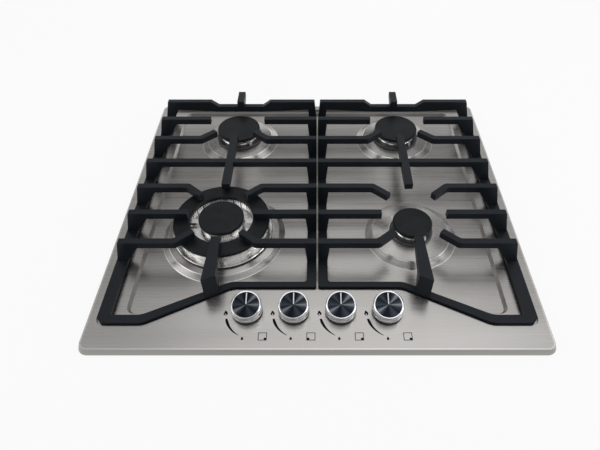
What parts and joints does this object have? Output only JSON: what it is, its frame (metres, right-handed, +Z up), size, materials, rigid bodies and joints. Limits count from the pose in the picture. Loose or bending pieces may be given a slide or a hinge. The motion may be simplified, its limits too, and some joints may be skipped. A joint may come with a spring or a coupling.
{
  "type": "built-in gas cooktop",
  "caption": "Built-in gas cooktop: steel plate with a spill dish, split cast iron grates, round and ring burners, and a row of press-and-turn knobs in front.",
  "frame": {"origin": "centre of the plate, on the plane of the worktop that the rim's seal lies on", "axes": "+X to the right, +Y to the back, +Z up out of the worktop"},
  "size_m": [0.59, 0.525, 0.098],
  "materials": {
    "plate_steel": "brushed left to right",
    "box_steel": "zinc-coated sheet, dull",
    "foam": "closed-cell foam",
    "zinc": "zinc-plated, dull",
    "cast_aluminium": "satin cast",
    "brass": "turned",
    "ceramic": "glazed ceramic",
    "black_plastic": "matte",
    "white_plastic": "matte",
    "lead": "silicone-covered lead",
    "valve_alloy": "die-cast",
    "steel_tube": "drawn tube",
    "iron": "matte black enamel on cast iron",
    "foot_rubber": "silicone rubber",
    "cap_enamel": "satin black enamel",
    "chrome": "polished",
    "knob_face": "dark, spun in circles",
    "spring_steel": "steel wire"
  },
  "bodies": {
    "hob": {"top_plate": "plate_steel", "worktop_seal": "foam", "bottom_box": "box_steel", "box_screws": "zinc", "mounting_clamps": "zinc", "clamp_screws": "zinc", "burner_cup_rear_left": "cast_aluminium", "burner_cup_rear_right": "cast_aluminium", "burner_cup_front_right": "cast_aluminium", "burner_cup_front_left": "cast_aluminium", "injectors": "brass", "spark_electrodes": "ceramic", "ignition_leads": "lead", "ignition_module": "white_plastic", "micro_switches": "black_plastic", "valve_rail": "zinc", "gas_manifold": "steel_tube", "inlet_fitting": "brass", "gas_pipes": "steel_tube", "knob_bezels": "chrome", "valve_body_1": "valve_alloy", "valve_body_2": "valve_alloy", "valve_body_3": "valve_alloy", "valve_body_4": "valve_alloy", "return_spring_1": "spring_steel", "return_spring_2": "spring_steel", "return_spring_3": "spring_steel", "return_spring_4": "spring_steel"},
    "grate_left": {"grate_left": "iron", "grate_feet_left": "foot_rubber"},
    "grate_right": {"grate_right": "iron", "grate_feet_right": "foot_rubber"},
    "head_rear_left": {"burner_head_rear_left": "cast_aluminium"},
    "head_rear_right": {"burner_head_rear_right": "cast_aluminium"},
    "head_front_right": {"burner_head_front_right": "cast_aluminium"},
    "head_front_left": {"burner_head_front_left": "cast_aluminium"},
    "cap_rear_left": {"burner_cap_rear_left": "cap_enamel"},
    "cap_rear_right": {"burner_cap_rear_right": "cap_enamel"},
    "cap_front_right": {"burner_cap_front_right": "cap_enamel"},
    "cap_ring": {"burner_cap_ring": "cap_enamel"},
    "cap_core": {"burner_cap_core": "cap_enamel"},
    "press_1": {"press_collar_1": "zinc"},
    "knob_1": {"knob_1": "chrome", "knob_face_1": "knob_face", "valve_stem_1": "zinc"},
    "press_2": {"press_collar_2": "zinc"},
    "knob_2": {"knob_2": "chrome", "knob_face_2": "knob_face", "valve_stem_2": "zinc"},
    "press_3": {"press_collar_3": "zinc"},
    "knob_3": {"knob_3": "chrome", "knob_face_3": "knob_face", "valve_stem_3": "zinc"},
    "press_4": {"press_collar_4": "zinc"},
    "knob_4": {"knob_4": "chrome", "knob_face_4": "knob_face", "valve_stem_4": "zinc"}
  },
  "joints": [
    {"name": "grate_left_lift", "type": "slide", "parent": "hob", "child": "grate_left", "axis": [0, 0, 1], "range_m": [0, 0.1]},
    {"name": "grate_right_lift", "type": "slide", "parent": "hob", "child": "grate_right", "axis": [0, 0, 1], "range_m": [0, 0.1]},
    {"name": "head_rear_left_lift", "type": "slide", "parent": "hob", "child": "head_rear_left", "axis": [0, 0, 1], "range_m": [0, 0.03]},
    {"name": "head_rear_right_lift", "type": "slide", "parent": "hob", "child": "head_rear_right", "axis": [0, 0, 1], "range_m": [0, 0.03]},
    {"name": "head_front_right_lift", "type": "slide", "parent": "hob", "child": "head_front_right", "axis": [0, 0, 1], "range_m": [0, 0.03]},
    {"name": "head_front_left_lift", "type": "slide", "parent": "hob", "child": "head_front_left", "axis": [0, 0, 1], "range_m": [0, 0.003]},
    {"name": "cap_rear_left_lift", "type": "slide", "parent": "head_rear_left", "child": "cap_rear_left", "axis": [0, 0, 1], "range_m": [0, 0.02]},
    {"name": "cap_rear_right_lift", "type": "slide", "parent": "head_rear_right", "child": "cap_rear_right", "axis": [0, 0, 1], "range_m": [0, 0.02]},
    {"name": "cap_front_right_lift", "type": "slide", "parent": "head_front_right", "child": "cap_front_right", "axis": [0, 0, 1], "range_m": [0, 0.02]},
    {"name": "cap_ring_lift", "type": "slide", "parent": "head_front_left", "child": "cap_ring", "axis": [0, 0, 1], "range_m": [0, 0.003]},
    {"name": "cap_core_lift", "type": "slide", "parent": "head_front_left", "child": "cap_core", "axis": [0, 0, 1], "range_m": [0, 0.02]},
    {"name": "knob_1_press", "type": "slide", "parent": "hob", "child": "press_1", "axis": [0, 0, -1], "range_m": [0, 0.003], "stiffness_N_per_m": 2000, "springref_m": -0.004, "deforming": ["return_spring_1"]},
    {"name": "knob_1_turn", "type": "hinge", "parent": "press_1", "child": "knob_1", "pos_m": [-0.09, -0.2045, 0.02], "axis": [0, 0, 1], "range_deg": [0, 180]},
    {"name": "knob_2_press", "type": "slide", "parent": "hob", "child": "press_2", "axis": [0, 0, -1], "range_m": [0, 0.003], "stiffness_N_per_m": 2000, "springref_m": -0.004, "deforming": ["return_spring_2"]},
    {"name": "knob_2_turn", "type": "hinge", "parent": "press_2", "child": "knob_2", "pos_m": [-0.03, -0.2045, 0.02], "axis": [0, 0, 1], "range_deg": [0, 180]},
    {"name": "knob_3_press", "type": "slide", "parent": "hob", "child": "press_3", "axis": [0, 0, -1], "range_m": [0, 0.003], "stiffness_N_per_m": 2000, "springref_m": -0.004, "deforming": ["return_spring_3"]},
    {"name": "knob_3_turn", "type": "hinge", "parent": "press_3", "child": "knob_3", "pos_m": [0.03, -0.2045, 0.02], "axis": [0, 0, 1], "range_deg": [0, 180]},
    {"name": "knob_4_press", "type": "slide", "parent": "hob", "child": "press_4", "axis": [0, 0, -1], "range_m": [0, 0.003], "stiffness_N_per_m": 2000, "springref_m": -0.004, "deforming": ["return_spring_4"]},
    {"name": "knob_4_turn", "type": "hinge", "parent": "press_4", "child": "knob_4", "pos_m": [0.09, -0.2045, 0.02], "axis": [0, 0, 1], "range_deg": [0, 180]}
  ]
}
